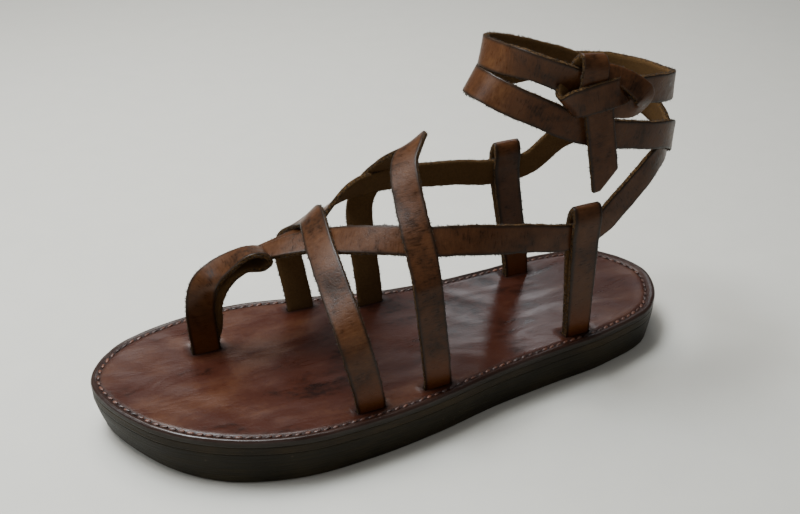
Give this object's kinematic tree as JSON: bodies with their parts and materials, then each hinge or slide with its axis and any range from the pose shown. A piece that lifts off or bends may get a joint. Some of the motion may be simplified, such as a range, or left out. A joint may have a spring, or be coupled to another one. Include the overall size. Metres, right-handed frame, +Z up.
{
  "type": "ankle strap sandal",
  "caption": "Left leather sandal on a thick flat sole, with crossed flat straps over the foot and a tie strap wound round the ankle and knotted.",
  "frame": {"origin": "on the floor, under the middle of the sole's length, on the line from the back of the heel", "axes": "+X to the toe, +Y to the outer (little toe) side, +Z up; the sandal stands on its sole"},
  "size_m": [0.285, 0.1066, 0.1637],
  "materials": {
    "outsole_rubber": "dark olive brown, buffed, satin",
    "midsole_leather": "edge stained near black",
    "footbed_leather": "smooth reddish brown, glossy, darker at the edge",
    "strap_leather": "waxed brown full grain face, raw golden brown flesh side and cut edges"
  },
  "bodies": {
    "root": {"outsole": "outsole_rubber", "midsole": "midsole_leather", "footbed": "footbed_leather", "upper": "strap_leather"}
  },
  "joints": []
}
